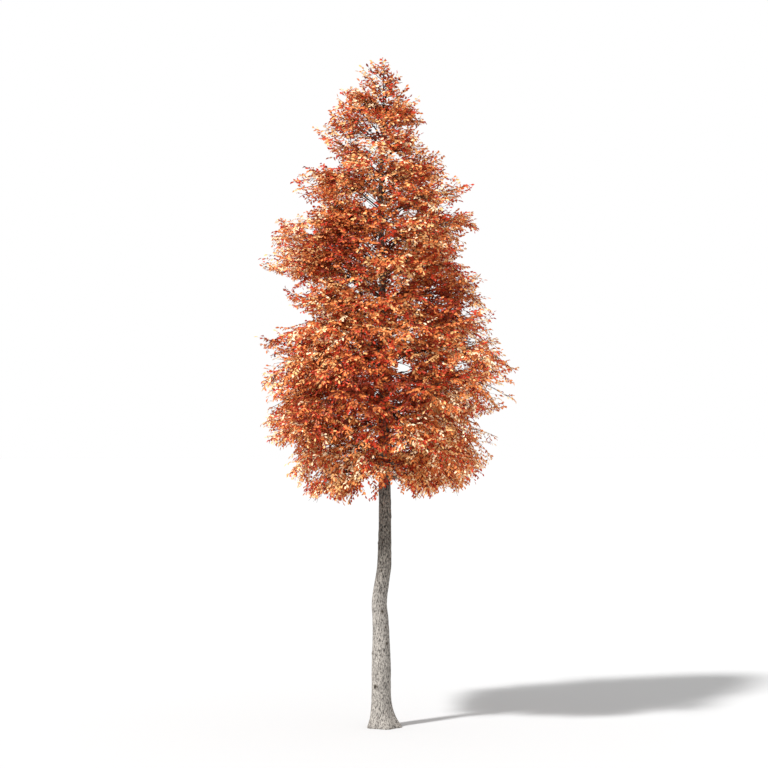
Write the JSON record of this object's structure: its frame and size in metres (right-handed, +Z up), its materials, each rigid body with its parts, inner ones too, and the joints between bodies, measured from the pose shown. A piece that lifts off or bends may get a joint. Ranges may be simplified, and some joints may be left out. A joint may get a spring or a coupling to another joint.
{
  "type": "alder tree",
  "caption": "Alder in autumn leaf: a bare, kinked trunk with a root flare carries tapering boughs and layered masses of orange and red leaves in a tall crown, rooted in level ground.",
  "frame": {"origin": "middle of the flat cut under the trunk at ground level", "axes": "+Z up along the trunk, -Y towards the viewer of the front, +X to the right of that view"},
  "size_m": [3.8979, 3.7364, 9.9937],
  "materials": {
    "trunk_bark": "rough, finely fissured",
    "limb_bark": "rough",
    "leaf_russet": "dull, slightly leathery",
    "leaf_orange": "satin, slightly leathery",
    "leaf_amber": "satin, slightly leathery",
    "leaf_red": "satin, slightly leathery",
    "leaf_straw": "satin, slightly leathery",
    "leaf_maroon": "dull, slightly leathery"
  },
  "bodies": {
    "root": {"trunk": "trunk_bark", "bough_01": "limb_bark", "bough_02": "limb_bark", "bough_03": "limb_bark", "bough_04": "limb_bark", "bough_05": "limb_bark", "bough_06": "limb_bark", "bough_07": "limb_bark", "bough_08": "limb_bark", "bough_09": "limb_bark", "bough_10": "limb_bark", "bough_11": "limb_bark", "bough_12": "limb_bark", "bough_13": "limb_bark", "bough_14": "limb_bark", "bough_15": "limb_bark", "bough_16": "limb_bark", "bough_17": "limb_bark", "bough_18": "limb_bark", "bough_19": "limb_bark", "bough_20": "limb_bark", "bough_21": "limb_bark", "bough_22": "limb_bark", "foliage_01": "leaf_russet", "foliage_02": "leaf_orange", "foliage_03": "leaf_amber", "foliage_04": "leaf_red", "foliage_05": "leaf_straw", "foliage_06": "leaf_maroon", "foliage_07": "leaf_russet", "foliage_08": "leaf_orange", "foliage_09": "leaf_amber", "foliage_10": "leaf_red", "foliage_11": "leaf_straw", "foliage_12": "leaf_maroon", "foliage_13": "leaf_russet", "foliage_14": "leaf_orange", "foliage_15": "leaf_amber", "foliage_16": "leaf_red", "foliage_17": "leaf_straw", "foliage_18": "leaf_maroon", "foliage_19": "leaf_russet", "foliage_20": "leaf_orange", "foliage_21": "leaf_amber", "foliage_22": "leaf_red", "foliage_23": "leaf_straw", "foliage_24": "leaf_maroon", "foliage_25": "leaf_russet", "foliage_26": "leaf_orange", "foliage_27": "leaf_amber", "foliage_28": "leaf_red", "foliage_29": "leaf_straw", "foliage_30": "leaf_maroon", "foliage_31": "leaf_russet", "foliage_32": "leaf_orange", "foliage_33": "leaf_amber", "foliage_34": "leaf_red", "foliage_35": "leaf_straw", "foliage_36": "leaf_maroon", "foliage_37": "leaf_russet"}
  },
  "joints": []
}
